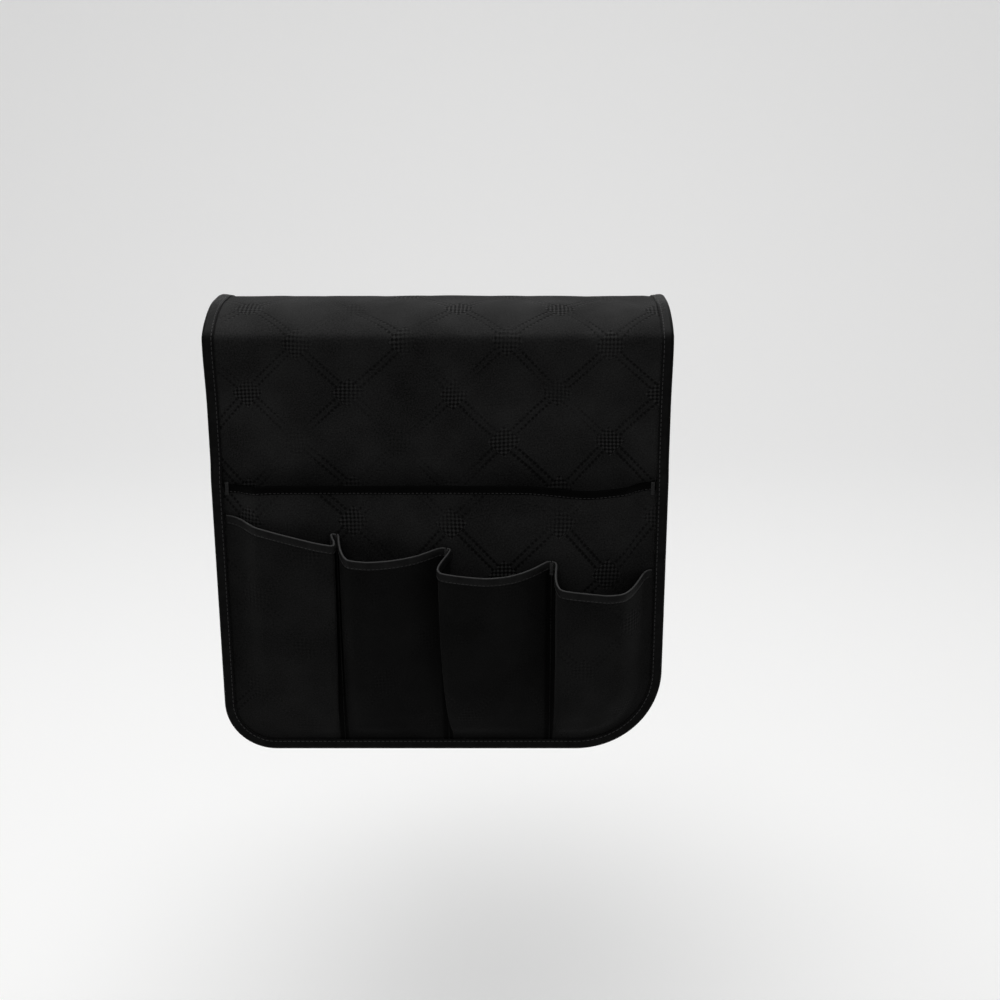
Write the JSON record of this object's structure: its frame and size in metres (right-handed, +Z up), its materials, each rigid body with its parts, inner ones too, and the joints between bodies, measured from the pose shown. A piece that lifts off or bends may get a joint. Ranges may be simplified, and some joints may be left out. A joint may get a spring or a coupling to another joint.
{
  "type": "sofa armrest organizer",
  "caption": "Padded black cloth organizer that lies over a sofa arm, with a magazine pocket, small pockets in front of it, a tail and a tuck flap.",
  "frame": {"origin": "middle of the saddle's underside, on the flat where it rests on top of the arm", "axes": "+Z up, +X along the arm to the right as seen from the pockets, the pockets facing -Y and the tail and tuck flap on the +Y side"},
  "size_m": [0.33, 0.3962, 0.3369],
  "materials": {
    "quilted_cloth": "matte embossed polyester",
    "pocket_cloth": "matte polyester",
    "wadding": "needled polyester wadding",
    "grip_backing": "cloth with grip dots",
    "binding_tape": "woven tape with a low sheen",
    "thread": "stitched polyester thread"
  },
  "bodies": {
    "saddle": {"saddle_grip_backing": "grip_backing", "saddle_wadding": "wadding", "saddle_face_cloth": "quilted_cloth", "saddle_binding_left": "binding_tape", "saddle_binding_right": "binding_tape"},
    "front": {"front_grip_backing": "grip_backing", "front_wadding": "wadding", "front_face_cloth": "quilted_cloth", "front_binding": "binding_tape", "magazine_pocket_panel": "quilted_cloth", "magazine_pocket_mouth_tape": "binding_tape", "magazine_tack_left": "thread", "magazine_tack_right": "thread", "small_pocket_1": "pocket_cloth", "small_pocket_1_mouth_tape": "binding_tape", "small_pocket_2": "pocket_cloth", "small_pocket_2_mouth_tape": "binding_tape", "small_pocket_3": "pocket_cloth", "small_pocket_3_mouth_tape": "binding_tape", "small_pocket_4": "pocket_cloth", "small_pocket_4_mouth_tape": "binding_tape", "seam_tack_1": "thread", "seam_tack_2": "thread", "seam_tack_3": "thread"},
    "tail": {"tail_grip_backing": "grip_backing", "tail_wadding": "wadding", "tail_face_cloth": "quilted_cloth", "tail_binding_left": "binding_tape", "tail_binding_right": "binding_tape"},
    "flap": {"flap_grip_backing": "grip_backing", "flap_wadding": "wadding", "flap_face_cloth": "quilted_cloth", "flap_binding": "binding_tape"}
  },
  "joints": [
    {"name": "front_fold", "type": "hinge", "parent": "saddle", "child": "front", "pos_m": [0, -0.0554, -0.01735], "axis": [-1, 0, 0], "range_deg": [0, 90]},
    {"name": "tail_fold", "type": "hinge", "parent": "saddle", "child": "tail", "pos_m": [0, 0.0554, -0.01735], "axis": [1, 0, 0], "range_deg": [0, 90]},
    {"name": "flap_fold", "type": "hinge", "parent": "tail", "child": "flap", "pos_m": [0, 0.06155, -0.2089], "axis": [-1, 0, 0], "range_deg": [0, 90]}
  ]
}
